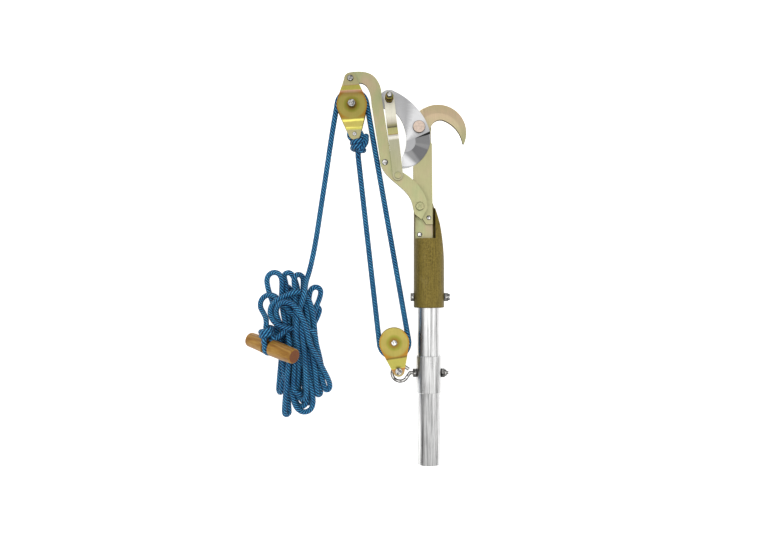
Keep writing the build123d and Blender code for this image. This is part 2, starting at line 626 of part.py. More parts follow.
def becket_knot():
    """The knot that ties the rope to the becket, tapering to the standing fall."""
    sections = []
    for y, x, half_x, half_z in [(453.5, -101.5, 6.5, 3.0), (446.0, -100.5, 12.0, 6.5), (436.0, -97.5, 14.5, 8.0),
                                 (427.5, -97.2, 9.5, 7.0), (KNOT_FOOT[1], KNOT_FOOT[0], ROPE_R, ROPE_R)]:
        plane = Plane((x, y, UPPER_Z - 0.4), x_dir=(1, 0, 0), z_dir=(0, 1, 0))
        sections.append(plane * Ellipse(half_x, half_z))
    knot = loft(sections)
    for name in ("upper_front_cheek", "upper_rear_cheek", "becket_rivet"):
        knot -= parts[name]
    return max(knot.solids(), key=lambda s: s.volume)


def handle_axis():
    axis = Vector(*HANDLE_HEAD) - Vector(*HANDLE_FOOT)
    return Plane(Vector(*HANDLE_FOOT), z_dir=axis), axis.length


def toggle_handle():
    """A turned wooden toggle, barrel-shaped, with a groove that the rope is tied round."""
    place, length = handle_axis()
    groove = GROOVE_AT * length
    low = groove - GROOVE_HALF
    high = groove + GROOVE_HALF
    wall = GROOVE_R + GROOVE_HALF
    rim = HANDLE_R - 1.1
    end = HANDLE_END_R
    profile = make_face(
        [
            Line((0, 0), (end - 2.0, 0)),
            ThreePointArc((end - 2.0, 0), (end - 0.6, 0.6), (end, 2.0)),
            Spline((end, 2.0), (HANDLE_R - 0.5, groove * 0.6), (HANDLE_R, low - 1.3)),
            Line((HANDLE_R, low - 1.3), (rim, low)),
            Line((rim, low), (wall, low)),
            ThreePointArc((wall, low), (GROOVE_R, groove), (wall, high)),
            Line((wall, high), (rim, high)),
            Line((rim, high), (HANDLE_R, high + 1.3)),
            Spline((HANDLE_R, high + 1.3), (HANDLE_R - 0.2, length * 0.7), (end, length - 2.0)),
            ThreePointArc((end, length - 2.0), (end - 0.6, length - 0.6), (end - 2.0, length)),
            Line((end - 2.0, length), (0, length)),
            Line((0, length), (0, 0)),
        ]
    )
    return place * revolve(Plane.XZ * profile, Axis.Z, 360)


def handle_clearance(extra):
    place, length = handle_axis()
    return place * Pos(0, 0, length / 2) * Cylinder(HANDLE_R + extra, length + 2 * extra)


KNOT_CENTRE = (-222.6, 180.5, 7.0)
KNOT_R = 11.5


def handle_knot():
    """One turn of rope in the handle's groove and the knot above it."""
    place, length = handle_axis()
    turn = place * Pos(0, 0, GROOVE_AT * length) * Torus(GROOVE_R + ROPE_R + 0.1, ROPE_R)
    ball = Pos(*KNOT_CENTRE) * Sphere(KNOT_R)
    return turn + (ball - handle_clearance(0.2))


def rope_hank():
    """The outer shape of the tied-up rope, a bundle with a waist and loops at both ends."""
    sections = [
        oval(263.0, -202.0, 30.0, 9.0),
        oval(240.0, -190.0, 46.0, 15.0),
        oval(208.0, -183.0, 36.0, 20.0),
        oval(168.0, -182.0, 25.5, 21.5),
        oval(128.0, -180.0, 29.0, 20.5),
        oval(98.0, -174.0, 35.5, 15.0),
        oval(68.0, -182.0, 26.0, 8.0),
    ]
    return loft(sections) - handle_clearance(0.5)


parts["becket_knot"] = becket_knot()
parts["toggle_handle"] = toggle_handle()
parts["handle_knot"] = handle_knot()
parts["rope_hank"] = rope_hank()
LEAD_ROUTE = [(-222.5, 192.5, 6.0), (-221.0, 202.0, 2.0), (-214.5, 213.5, -2.5)]
parts["handle_lead"] = rope_tube("handle_lead", LEAD_ROUTE)


# ---------------------------------------------------------------- files
os.makedirs("parts", exist_ok=True)
for name, shape in parts.items():
    export_step(shape, f"parts/{name}.step")
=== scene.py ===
"""Looks for the rope-operated pole pruner head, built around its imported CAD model."""

import json
import math

import bpy
import numpy as np
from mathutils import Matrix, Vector


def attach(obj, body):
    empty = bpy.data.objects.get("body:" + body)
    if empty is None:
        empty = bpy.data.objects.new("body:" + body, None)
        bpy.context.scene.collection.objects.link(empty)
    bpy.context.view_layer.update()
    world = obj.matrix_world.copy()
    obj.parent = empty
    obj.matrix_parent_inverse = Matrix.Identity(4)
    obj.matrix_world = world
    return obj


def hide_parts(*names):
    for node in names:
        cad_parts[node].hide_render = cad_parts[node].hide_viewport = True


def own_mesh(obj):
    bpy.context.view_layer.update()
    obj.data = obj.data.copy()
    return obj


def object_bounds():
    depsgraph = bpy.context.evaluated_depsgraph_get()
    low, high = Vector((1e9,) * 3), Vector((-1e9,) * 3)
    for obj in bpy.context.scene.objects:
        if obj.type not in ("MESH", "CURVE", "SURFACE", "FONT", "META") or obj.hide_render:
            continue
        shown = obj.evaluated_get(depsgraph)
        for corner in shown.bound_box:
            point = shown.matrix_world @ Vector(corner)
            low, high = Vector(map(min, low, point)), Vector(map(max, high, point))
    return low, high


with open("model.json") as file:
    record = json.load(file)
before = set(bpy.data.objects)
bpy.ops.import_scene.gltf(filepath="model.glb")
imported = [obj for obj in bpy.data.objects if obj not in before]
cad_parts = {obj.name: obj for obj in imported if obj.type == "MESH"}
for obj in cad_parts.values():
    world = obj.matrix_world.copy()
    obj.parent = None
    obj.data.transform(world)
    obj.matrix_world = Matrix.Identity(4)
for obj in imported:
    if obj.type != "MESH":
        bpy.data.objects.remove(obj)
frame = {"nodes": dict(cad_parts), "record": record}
cad_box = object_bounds()
nodes = frame["nodes"]
MM = 0.001


# ---------------------------------------------------------------- camera
def add_camera():
    """Straight down on the object as it lies on its back."""
    low, high = Vector(cad_box[0]), Vector(cad_box[1])
    middle = (low + high) / 2
    camera = bpy.data.objects.new("camera", bpy.data.cameras.new("camera"))
    camera.location = (middle.x + 0.0342, middle.y - 0.0148, 1.035)
    camera.data.sensor_width = 36.0
    camera.data.lens = 35.53
    camera.data.clip_start = 0.01
    bpy.context.scene.collection.objects.link(camera)
    bpy.context.scene.camera = camera


add_camera()

# ---------------------------------------------------------------- rope facts, in millimetres, as in part.py
GROUND = -20.9
ROPE_D = 7.4
ROPE_R = ROPE_D / 2
REEVE_R = 20.3
UPPER_SHEAVE = (-105.6, 490.5, 14.6)
LOWER_SHEAVE = (-48.0, 167.1, 0.0)
HAUL_DEG = 169.8
LEAD_DEG = 42.0
KNOT_FOOT = (-97.1, 420.4, 12.7)
HANDLE_FOOT = (-248.8, 170.4, -12.6)
HANDLE_HEAD = (-180.9, 151.8, 40.5)
HANDLE_R = 11.3
GROOVE_R = 4.8
GROOVE_AT = 0.45
BLADE_MIDDLE = (-33.0, 442.0)  # the middle of the blade's C
TIP_LINE = (-31.9, 426.1, -0.658, -0.753)  # a point on the line that bounds the tip, and the way to the tip
RIDGES = 5                    # strands seen round the rope
RIDGE_LEAN = 5.6              # how often each one comes round in one girth of rope


def on_sheave(centre, deg, radius=REEVE_R):
    turn = math.radians(deg)
    return (centre[0] + radius * math.cos(turn), centre[1] + radius * math.sin(turn), centre[2])


def nurbs(name, points_mm):
    """One smooth open spline with these control points."""
    curve = bpy.data.curves.new(name, "CURVE")
    curve.dimensions = "3D"
    spline = curve.splines.new("NURBS")
    spline.points.add(len(points_mm) - 1)
    for point, (x, y, z) in zip(spline.points, points_mm):
        point.co = (x * MM, y * MM, z * MM, 1.0)
    spline.order_u = 3
    spline.use_endpoint_u = True
    spline.resolution_u = 12
    return curve


def centre_line(name, points_mm, step_mm=0.9):
    """Evenly spaced points read from the spline, in metres."""
    curve = nurbs(name, points_mm)
    bare = bpy.data.objects.new(name + "_line", curve)
    mesh = bpy.data.meshes.new_from_object(bare)
    raw = np.array([v.co for v in mesh.vertices], float)
    bpy.data.objects.remove(bare)
    bpy.data.meshes.remove(mesh)
    bpy.data.curves.remove(curve)
    along = np.concatenate([[0], np.cumsum(np.linalg.norm(np.diff(raw, axis=0), axis=1))])
    count = max(4, int(round(along[-1] / (step_mm * MM))) + 1)
    at = np.linspace(0, along[-1], count)
    return np.stack([np.interp(at, along, raw[:, k]) for k in range(3)], axis=1)


def frames_along(line):
    """A side and an up direction at each point that don't twist about the line."""
    tangent = np.gradient(line, axis=0)
    tangent /= np.linalg.norm(tangent, axis=1)[:, None]
    side = np.zeros_like(line)
    seed = np.array([0.0, 0.0, 1.0])
    if abs(tangent[0] @ seed) > 0.9:
        seed = np.array([1.0, 0.0, 0.0])
    now = np.cross(tangent[0], seed)
    for i in range(len(line)):
        now = now - tangent[i] * (now @ tangent[i])
        now /= np.linalg.norm(now)
        side[i] = now
    return tangent, side, np.cross(tangent, side)


def rope_mesh(name, line, radius=ROPE_R * MM, around=20, caps=(True, True), start_at=0.0):
    """A braided tube round the line. Its UV map runs along and round the rope at true scale."""
    tangent, side, up = frames_along(line)
    along = start_at + np.concatenate([[0], np.cumsum(np.linalg.norm(np.diff(line, axis=0), axis=1))])
    turn = np.arange(around) * 2 * math.pi / around
    girth = 2 * math.pi * radius
    phase = RIDGES * turn[None, :] / (2 * math.pi) + RIDGE_LEAN * along[:, None] / girth
    ridge = np.cos(2 * math.pi * phase)
    r = radius * (1.01 + 0.03 * ridge)
    ring = (
        line[:, None, :]
        + (r * np.cos(turn))[:, :, None] * side[:, None, :]
        + (r * np.sin(turn))[:, :, None] * up[:, None, :]
    )
    verts = ring.reshape(-1, 3)
    n = len(line)
    row, col = np.meshgrid(np.arange(n - 1), np.arange(around), indexing="ij")
    nxt = (col + 1) % around
    quads = np.stack(
        [row * around + col, row * around + nxt, (row + 1) * around + nxt, (row + 1) * around + col],
        axis=-1,
    ).reshape(-1, 4)
    u_low = col / around
    u_high = (col + 1) / around
    v_low = along[row] / girth
    v_high = along[row + 1] / girth
    uv = np.stack(
        [
            np.stack([u_low, v_low], -1),
            np.stack([u_high, v_low], -1),
            np.stack([u_high, v_high], -1),
            np.stack([u_low, v_high], -1),
        ],
        axis=2,
    ).reshape(-1, 2)
    faces = [list(q) for q in quads[:, ::-1]]
    uv = uv.reshape(-1, 4, 2)[:, ::-1].reshape(-1, 2)
    verts = verts.tolist()
    extra_uv = []
    for end, wanted in ((0, caps[0]), (n - 1, caps[1])):
        if not wanted:
            continue
        sign = -1 if end == 0 else 1
        base = end * around
        rings = [list(range(base, base + around))]
        for k in (1, 2):
            shrink = math.cos(k * math.pi / 6)
            out = math.sin(k * math.pi / 6) * radius * 0.8 * sign
            start = len(verts)
            centre = line[end] + tangent[end] * out
            for j in range(around):
                verts.append((centre + (ring[end, j] - line[end]) * shrink).tolist())
            rings.append(list(range(start, start + around)))
        tip = len(verts)
        verts.append((line[end] + tangent[end] * radius * 0.8 * sign).tolist())
        for a, b in zip(rings, rings[1:]):
            for j in range(around):
                k = (j + 1) % around
                quad = [a[j], a[k], b[k], b[j]]
                faces.append(quad if end == 0 else quad[::-1])
                extra_uv += [(j / around, along[end] / girth)] * 4
        last = rings[-1]
        for j in range(around):
            k = (j + 1) % around
            tri = [last[j], last[k], tip]
            faces.append(tri if end == 0 else tri[::-1])
            extra_uv += [(j / around, along[end] / girth)] * 3
    mesh = bpy.data.meshes.new(name)
    mesh.from_pydata(verts, [], faces)
    layer = mesh.uv_layers.new(name="along_rope")
    layer.data.foreach_set("uv", np.concatenate([uv.reshape(-1), np.array(extra_uv, float).reshape(-1)]))
    mesh.polygons.foreach_set("use_smooth", [True] * len(mesh.polygons))
    mesh.validate()
    obj = bpy.data.objects.new(name, mesh)
    bpy.context.scene.collection.objects.link(obj)
    return obj


# ---------------------------------------------------------------- the tied-up hank
# It lies on its back. Each run crosses the waist at one of these places (x, z).
WAIST_Y = 166.0
RUNS = [
    (-180.0, 11.0), (-202.0, -3.0), (-190.0, 8.0), (-193.5, -3.0),
    (-171.5, 10.0), (-186.0, -3.6), (-164.0, 3.5), (-178.5, -3.6),
    (-170.5, -3.6), (-194.0, -10.4), (-186.5, -10.4), (-179.0, -10.4),
    (-171.5, -10.4), (-197.5, -17.2), (-190.0, -17.2), (-182.5, -17.2),
    (-175.0, -17.2), (-203.0, -10.4), (-164.0, 11.5), (-163.5, -4.0),
    (-157.5, -3.0), (-167.5, -17.2),
]
# Where each pair of runs turns at the bottom: x and z of the way in, of the way out, and the lowest y.
BOTTOMS = [
    (-158.5, -3.0, -185.0, -9.0, 69.0),
    (-200.0, -3.0, -193.5, -12.0, 66.0),
    (-168.0, 2.0, -181.0, -10.0, 88.0),
    (-156.5, -6.0, -149.0, -16.0, 93.0),
    (-164.0, -8.0, -177.0, -16.0, 80.0),
    (-186.0, -3.0, -175.0, -17.2, 96.0),
    (-170.0, -9.0, -185.0, -17.2, 76.0),
    (-190.0, -17.2, -176.0, -17.2, 101.0),
    (-204.0, -6.0, -209.5, -15.0, 96.5),
    (-136.5, -14.0, -148.0, -12.0, 99.0),
    (-147.0, -16.5, -160.0, -17.2, 108.0),
]
# And at the top: x and z in, x and z out, the highest y, and how far the loop leans.
# The last three turns are spelt out below.
TOPS = [
    (-228.5, -14.0, -200.5, -8.0, 265.5, -5.0),
    (-203.5, -15.0, -187.5, -9.0, 264.5, -4.0),
    (-187.0, -6.0, -174.5, -15.0, 261.5, -1.0),
    (-166.0, -9.0, -148.0, -12.0, 244.5, 4.0),
    (-205.0, -17.0, -192.0, -17.2, 246.0, -4.0),
    (-192.0, -10.0, -180.0, -17.2, 238.0, -3.0),
    (-197.0, -17.2, -185.0, -10.0, 229.0, -3.0),
    (-162.0, -15.0, -151.0, -17.2, 216.0, 3.0),
]
# the haul line comes down on top of the loops
HAUL_IN = [(-165.4, 267.0, -13.0), (-171.0, 249.0, -5.0), (-174.5, 232.0, 3.0), (-177.5, 214.0, 10.5)]
# the turn that is thrown over the front of the bundle
THROW = [
    (-203.0, 186.0, -2.0), (-210.0, 198.0, 2.0), (-212.5, 211.0, 7.0), (-207.0, 222.0, 12.0),
    (-196.0, 226.0, 16.0), (-185.5, 222.0, 18.5), (-177.0, 212.0, 19.0), (-170.5, 198.0, 18.5),
    (-166.5, 183.0, 16.0),
]
# the arch behind the haul line, its small loop at the left and the pull across the waist
ARCH = [
    (-160.0, 205.0, -3.0), (-164.0, 226.0, -3.0), (-173.0, 237.5, -3.5), (-186.0, 237.5, 3.0),
    (-199.0, 231.0, 8.0),
    (-209.5, 226.0, 8.0), (-217.5, 219.0, 4.0), (-220.5, 209.5, 1.0), (-216.5, 199.5, 3.0),
    (-208.5, 192.0, 7.0), (-199.0, 187.5, 9.0), (-188.5, 186.5, 7.0), (-176.0, 187.0, 3.5),
    (-165.0, 186.0, 1.5), (-157.5, 178.0, -1.0),
]
# the loop at the far left, whose end goes down to the knot on the toggle
LEAD_LOOP = [
    (-180.0, 190.0, -11.0), (-190.0, 206.0, -7.0), (-199.0, 217.0, -3.0), (-206.0, 227.5, -2.0),
    (-215.5, 234.5, -5.0),
    (-227.0, 233.5, -8.0), (-234.5, 225.5, -9.0), (-235.0, 215.5, -7.0), (-228.5, 208.0, -2.0),
    (-223.5, 202.0, 4.0), (-222.8, 197.5, 9.5), (-222.5, 192.5, 13.0),
]


def blend_points(a, b, share):
    return tuple(p + (q - p) * share for p, q in zip(a, b))


def down_run(top, waist, bottom):
    """Points along one leg of the hank, from a top loop through the waist to a bottom one."""
    return [
        blend_points(top, waist, 0.45),
        blend_points(top, waist, 0.80),
        waist,
        blend_points(waist, bottom, 0.30),
        blend_points(waist, bottom, 0.62),
    ]


def bottom_loop(x_in, z_in, x_out, z_out, y):
    """A round turn, from four points outside its half circle."""
    wide = x_out - x_in
    span = abs(wide)
    at = [(0.0, 0.95), (0.0, 0.293), (0.293, 0.0), (0.707, 0.0), (1.0, 0.293), (1.0, 0.95)]
    return [(x_in + wide * u, y + span * v, z_in + (z_out - z_in) * u) for u, v in at]


def top_loop(x_in, z_in, x_out, z_out, y, lean):
    """A round loop above a narrower neck; its legs lean together to one side."""
    wide = x_out - x_in
    span = abs(wide)
    at = [(0.22, -1.6), (0.03, -0.95), (0.0, -0.293), (0.293, 0.0),
          (0.707, 0.0), (1.0, -0.293), (0.97, -0.95), (0.78, -1.6)]
    return [
        (x_in + wide * u + lean * min(0.0, v + 0.3), y + span * v, z_in + (z_out - z_in) * u) for u, v in at
    ]


def hank_points():
    """Control points of every turn, from the haul line to the lead of the toggle."""
    waists = [(x, WAIST_Y, z) for x, z in RUNS]
    points = list(HAUL_IN)
    last = HAUL_IN[-1]
    for turn, bottom in enumerate(BOTTOMS):
        down = waists[2 * turn]
        up = waists[2 * turn + 1]
        low = bottom_loop(*bottom)
        points += down_run(last, down, low[0]) if turn not in (9, 10) else down_run(last, down, low[0])[1:]
        points += low
        if turn < len(TOPS):
            high = top_loop(*TOPS[turn])
        elif turn == 8:
            high = THROW
        elif turn == 9:
            high = ARCH
        else:
            high = LEAD_LOOP
        points += down_run(high[0], up, low[-1])[::-1]
        points += high
        last = high[-1]
    return np.array(points, float)


def basis(count, samples):
    """Weights of the control points at evenly spaced places of an order 3 spline, as a matrix."""
    spans = count - 2
    at = np.linspace(0, spans, samples, endpoint=False) + 0.5 * spans / samples
    span = np.minimum(at.astype(int), spans - 1)
    t = at - span
    weights = np.zeros((samples, count))
    rows = np.arange(samples)
    weights[rows, span] = 0.5 * (1 - t) ** 2
    weights[rows, span + 1] = 0.5 + t * (1 - t)
    weights[rows, span + 2] = 0.5 * t ** 2
    return weights


SAME_STRAND = 2.6 * ROPE_D     # nearer than this along the rope isn't a crossing
PUSH_GAIN = 1.8                # how hard touching strands are pushed apart
MOVE_GAIN = 1.5                # how far the control points follow
STIFFNESS = 0.004


def settle(points, rounds=420, per_point=4):
    """Push the turns apart until they only touch, keeping them on the floor and clear of the toggle."""
    start = points.copy()
    weights = basis(len(points), len(points) * per_point)
    share = weights.sum(0)[:, None] + 1e-9
    foot = np.array(HANDLE_FOOT)
    axis = np.array(HANDLE_HEAD) - foot
    reach = ROPE_D * 1.02
    hold = np.ones((len(points), 1))
    hold[:2] = 0
    hold[-2:] = 0
    pull = np.array([0.010, 0.010, 0.004])
    for _ in range(rounds):
        line = weights @ points
        step = np.linalg.norm(np.diff(line, axis=0), axis=1)
        along = np.concatenate([[0], np.cumsum(step)])
        square = (line ** 2).sum(1)
        near = square[:, None] + square[None, :] - 2 * line @ line.T < reach ** 2
        one, two = np.nonzero(np.triu(near, 4))
        apart = np.abs(along[one] - along[two]) > SAME_STRAND
        one, two = one[apart], two[apart]
        gap = line[one] - line[two]
        far = np.linalg.norm(gap, axis=1)[:, None] + 1e-9
        push = 0.5 * (reach - far) / far * gap
        move = np.zeros_like(line)
        met = np.zeros(len(line))
        for ends, sign in ((one, 1.0), (two, -1.0)):
            np.add.at(move, ends, sign * push)
            np.add.at(met, ends, 1.0)
        move *= PUSH_GAIN / np.maximum(met, 1.0)[:, None]
        t = np.clip(((line - foot) @ axis) / (axis @ axis), 0, 1)
        off = line - foot - t[:, None] * axis
        room = np.linalg.norm(off, axis=1)
        short = np.clip(HANDLE_R + ROPE_R + 0.3 - room, 0, None)
        move += off / room[:, None] * short[:, None]
        move[:, 2] += np.clip(GROUND + ROPE_R - (line[:, 2] + move[:, 2]), 0, None)
        points = points + hold * (weights.T @ move) / share * MOVE_GAIN
        points += hold * pull * (start - points)
        # stiffness: a control point leans towards the middle of its neighbours
        bend = 0.5 * (points[:-2] + points[2:]) - points[1:-1]
        points[1:-1] += hold[1:-1] * STIFFNESS * bend
        points[:, 2] = np.maximum(points[:, 2], GROUND + ROPE_R)
    return points


HAUL_START = HAUL_DEG - LEAD_DEG
HAUL_ROUTE = [
    on_sheave(UPPER_SHEAVE, HAUL_START),
    on_sheave(UPPER_SHEAVE, HAUL_START + LEAD_DEG / 4, REEVE_R / math.cos(math.radians(LEAD_DEG / 4))),
    on_sheave(UPPER_SHEAVE, HAUL_START + LEAD_DEG * 3 / 4, REEVE_R / math.cos(math.radians(LEAD_DEG / 4))),
    on_sheave(UPPER_SHEAVE, HAUL_DEG),
    (-133.3, 451.0, 10.6),
    (-141.0, 402.0, 4.2),
    (-149.6, 352.0, -4.6),
    (-157.2, 306.0, -12.2),
]

tied = settle(hank_points())
haul_points = HAUL_ROUTE + [tuple(p) for p in tied]
haul_line = centre_line("haul_rope", haul_points)
haul_rope = rope_mesh("haul_rope", haul_line)


# ---------------------------------------------------------------- falls, wraps and knots
fall_deg = math.degrees(math.atan2(UPPER_SHEAVE[1] - LOWER_SHEAVE[1], UPPER_SHEAVE[0] - LOWER_SHEAVE[0]))
right_deg = fall_deg - 90
foot_x = KNOT_FOOT[0] - LOWER_SHEAVE[0]
foot_y = KNOT_FOOT[1] - LOWER_SHEAVE[1]
left_deg = math.degrees(math.atan2(foot_y, foot_x) + math.acos(REEVE_R / math.hypot(foot_x, foot_y)))
FALL_AXIS = (math.cos(math.radians(fall_deg)), math.sin(math.radians(fall_deg)), 0.0)
SHEAVE_TRAVEL = 225.1         # how much nearer the sheaves are with the lever pulled


def wrap_points(centre, start_deg, end_deg, step=15.0):
    """Control points round a sheave, each outside the arc so that the spline lies on it."""
    count = max(2, int(round(abs(end_deg - start_deg) / step)))
    turn = (end_deg - start_deg) / count
    out = REEVE_R / math.cos(math.radians(turn / 2))
    points = [on_sheave(centre, start_deg)]
    points += [on_sheave(centre, start_deg + turn * (i + 0.5), out) for i in range(count)]
    return points + [on_sheave(centre, end_deg)]


def straight_points(a, b):
    """A taut stretch needs no more than its ends and one point about 6 diameters from each."""
    share = 6 * ROPE_D / math.dist(a, b)
    return [a, blend_points(a, b, share), blend_points(a, b, 1 - share), b]


def add_fall(name, a, b, anchor):
    """A taut fall between the blocks, and the share of its length that would stay with the lever pulled."""
    line = centre_line(name, straight_points(a, b))
    piece = rope_mesh(name, line)
    reach = (Vector(b) - Vector(anchor)).dot(Vector(FALL_AXIS))
    if reach < 1:
        reach = (Vector(a) - Vector(anchor)).dot(Vector(FALL_AXIS))
    return piece, line, 1 - SHEAVE_TRAVEL / reach


standing_foot = on_sheave(LOWER_SHEAVE, left_deg)
running_foot = on_sheave(LOWER_SHEAVE, right_deg)
running_head = on_sheave(UPPER_SHEAVE, right_deg)
standing_fall, standing_line, standing_keep = add_fall(
    "standing_fall_rope", KNOT_FOOT, standing_foot, standing_foot
)
running_fall, running_line, running_keep = add_fall(
    "running_fall_rope", running_foot, running_head, running_foot
)
lower_wrap_line = centre_line("lower_wrap_rope", wrap_points(LOWER_SHEAVE, left_deg, 360 + right_deg))
lower_wrap = rope_mesh("lower_wrap_rope", lower_wrap_line)
upper_wrap_line = centre_line("upper_wrap_rope", wrap_points(UPPER_SHEAVE, right_deg, HAUL_START))
upper_wrap = rope_mesh("upper_wrap_rope", upper_wrap_line)

def knot_coil(top, foot, radius, turns, start_deg, step=30.0):
    """Points of a coil wound round a line; 0 degrees is its right and 90 degrees its front."""
    top, foot = Vector(top), Vector(foot)
    along = (foot - top).normalized()
    front = Vector((0, 0, 1)) - along * along.z
    front.normalize()
    side = front.cross(along)
    if side.x < 0:
        side = -side
    count = int(round(turns * 360 / step))
    out = radius / math.cos(math.radians(step / 2))
    points = []
    for i in range(count + 1):
        turn = math.radians(start_deg + i * step)
        place = top.lerp(foot, i / count)
        points.append(tuple(place + (side * math.cos(turn) + front * math.sin(turn)) * out))
    return points


# the knot under the becket: up the middle, over the rivet between the cheeks, then round its own leg
BECKET_KNOT = (
    [(-97.1, 420.4, 12.7), (-97.3, 428.0, 13.2), (-98.0, 436.0, 13.8), (-101.0, 441.5, 14.4),
     (-106.5, 445.5, 14.6), (-109.3, 450.0, 14.6), (-107.5, 456.0, 14.6), (-101.8, 458.5, 14.6),
     (-96.0, 456.5, 14.6), (-92.5, 451.0, 14.6)]
    + knot_coil((-97.6, 443.0, 14.0), (-97.0, 428.5, 13.2), 7.3, 2.2, 10.0)
)
TAIL = [(-94.0, 430.0, 20.0), (-88.5, 435.5, 20.5), (-85.8, 442.5, 18.0), (-86.4, 449.5, 14.6)]


def groove_point(deg, radius, shift=0.0):
    """A point round the toggle's groove. 0 degrees faces up the pole, 90 degrees the front."""
    foot = Vector(HANDLE_FOOT)
    axis = (Vector(HANDLE_HEAD) - foot)
    centre = foot + axis * GROOVE_AT
    along = axis.normalized()
    up = Vector((0, 1, 0)) - along * along.y
    up.normalize()
    front = along.cross(up)
    if front.z < 0:
        front = -front
    turn = math.radians(deg)
    return tuple(centre + along * shift + (up * math.cos(turn) + front * math.sin(turn)) * radius)


GROOVE_REACH = (GROOVE_R + ROPE_R + 0.1) / math.cos(math.radians(15))
GROOVE_TURN = [groove_point(deg, GROOVE_REACH) for deg in range(75, 346, 30)]
TOGGLE_KNOT = (
    [(-222.5, 192.5, 13.0), (-222.6, 184.0, 13.0), (-222.4, 177.5, 13.8), groove_point(50, 14.5, -2.2)]
    + GROOVE_TURN
    + [(-220.5, 176.0, -0.5), (-220.5, 183.0, -2.0), (-222.0, 188.8, 0.0)]
    + knot_coil((-222.8, 188.0, 13.4), (-221.0, 175.5, 12.4), 7.6, 2.3, 250.0)
    + [(-211.5, 172.0, 11.5), (-206.0, 175.5, 11.5), (-199.5, 181.5, 9.5), (-193.0, 187.0, 4.5)]
)
becket_line = centre_line("becket_knot_rope", BECKET_KNOT)
becket_knot = rope_mesh("becket_knot_rope", becket_line)
tail_line = centre_line("becket_tail_rope", TAIL)
becket_tail = rope_mesh("becket_tail_rope", tail_line)
toggle_line = centre_line("toggle_knot_rope", TOGGLE_KNOT)
toggle_knot = rope_mesh("toggle_knot_rope", toggle_line)

ROPES = [
    haul_rope, standing_fall, running_fall, lower_wrap, upper_wrap, becket_knot, becket_tail, toggle_knot,
]
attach(haul_rope, "haul_rope")
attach(toggle_knot, "haul_rope")
for rope in (standing_fall, running_fall, lower_wrap):
    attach(rope, "lower_block")
for rope in (upper_wrap, becket_knot, becket_tail):
    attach(rope, "upper_block")
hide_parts("haul_line", "rope_hank", "handle_lead")
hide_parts("handle_knot")
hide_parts("standing_fall")
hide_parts("running_fall")
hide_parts("lower_wrap")
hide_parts("upper_wrap")
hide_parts("becket_knot")
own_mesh(standing_fall)
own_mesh(running_fall)


# ---------------------------------------------------------------- node helpers
class Shader:
    """A material whose nodes are added one by one."""

    def __init__(self, name):
        self.material = bpy.data.materials.new(name)
        self.material.use_nodes = True
        self.tree = self.material.node_tree
        self.surface = self.tree.nodes["Principled BSDF"]
        self.place = self.add("ShaderNodeTexCoord").outputs["Object"]

    def add(self, kind, **settings):
        node = self.tree.nodes.new(kind)
        for key, value in settings.items():
            setattr(node, key, value)
        return node

    def link(self, source, target):
        if isinstance(source, (int, float)):
            target.default_value = source
        elif isinstance(source, tuple):
            target.default_value = (*source, 1.0) if len(target.default_value) == 4 else source
        else:
            self.tree.links.new(source, target)

    def scaled(self, scale, source=None):
        node = self.add("ShaderNodeMapping")
        self.link(source or self.place, node.inputs["Vector"])
        node.inputs["Scale"].default_value = scale
        return node.outputs["Vector"]

    def noise(self, scale, detail=3.0, rough=0.55, source=None):
        node = self.add("ShaderNodeTexNoise")
        self.link(source or self.place, node.inputs["Vector"])
        node.inputs["Scale"].default_value = scale
        node.inputs["Detail"].default_value = detail
        node.inputs["Roughness"].default_value = rough
        return node.outputs["Fac"]

    def cells(self, scale, source=None, feature="F1"):
        node = self.add("ShaderNodeTexVoronoi", feature=feature)
        self.link(source or self.place, node.inputs["Vector"])
        node.inputs["Scale"].default_value = scale
        return node.outputs["Distance"]

    def math(self, operation, a, b=0.0, c=0.0):
        node = self.add("ShaderNodeMath", operation=operation)
        for source, target in zip((a, b, c), node.inputs):
            self.link(source, target)
        return node.outputs[0]

    def split(self, source):
        node = self.add("ShaderNodeSeparateXYZ")
        self.link(source, node.inputs[0])
        return node.outputs

    def ramp(self, factor, stops):
        """Colours or grey levels between given positions."""
        node = self.add("ShaderNodeValToRGB")
        self.link(factor, node.inputs["Fac"])
        band = node.color_ramp.elements
        while len(band) < len(stops):
            band.new(0.5)
        for element, (at, colour) in zip(band, stops):
            element.position = at
            element.color = (colour,) * 3 + (1.0,) if isinstance(colour, float) else (*colour, 1.0)
        return node.outputs["Color"]

    def mix(self, factor, a, b, blend="MIX"):
        node = self.add("ShaderNodeMix", data_type="RGBA", blend_type=blend)
        self.link(factor, node.inputs[0])
        self.link(a, node.inputs[6])
        self.link(b, node.inputs[7])
        return node.outputs[2]

    def normal_z(self):
        """How far a face looks to the front, from 0 on an edge to 1."""
        geometry = self.add("ShaderNodeNewGeometry")
        return self.math("ABSOLUTE", self.split(geometry.outputs["Normal"])[2])

    def bump(self, height, strength, distance):
        node = self.add("ShaderNodeBump")
        node.inputs["Strength"].default_value = strength
        node.inputs["Distance"].default_value = distance
        self.link(height, node.inputs["Height"])
        self.link(node.outputs["Normal"], self.surface.inputs["Normal"])

    def finish(self, colour, roughness, metallic=1.0, **fixed):
        self.link(colour, self.surface.inputs["Base Color"])
        self.link(roughness, self.surface.inputs["Roughness"])
        self.surface.inputs["Metallic"].default_value = metallic
        for key, value in fixed.items():
            self.surface.inputs[key.replace("_", " ")].default_value = value
        return self.material


def rgb(red, green, blue):
    """A colour given as it looks on a screen, 0 to 255."""
    linear = []
    for value in (red, green, blue):
        value /= 255
        linear.append(value / 12.92 if value <= 0.04045 else ((value + 0.055) / 1.055) ** 2.4)
    return tuple(linear)


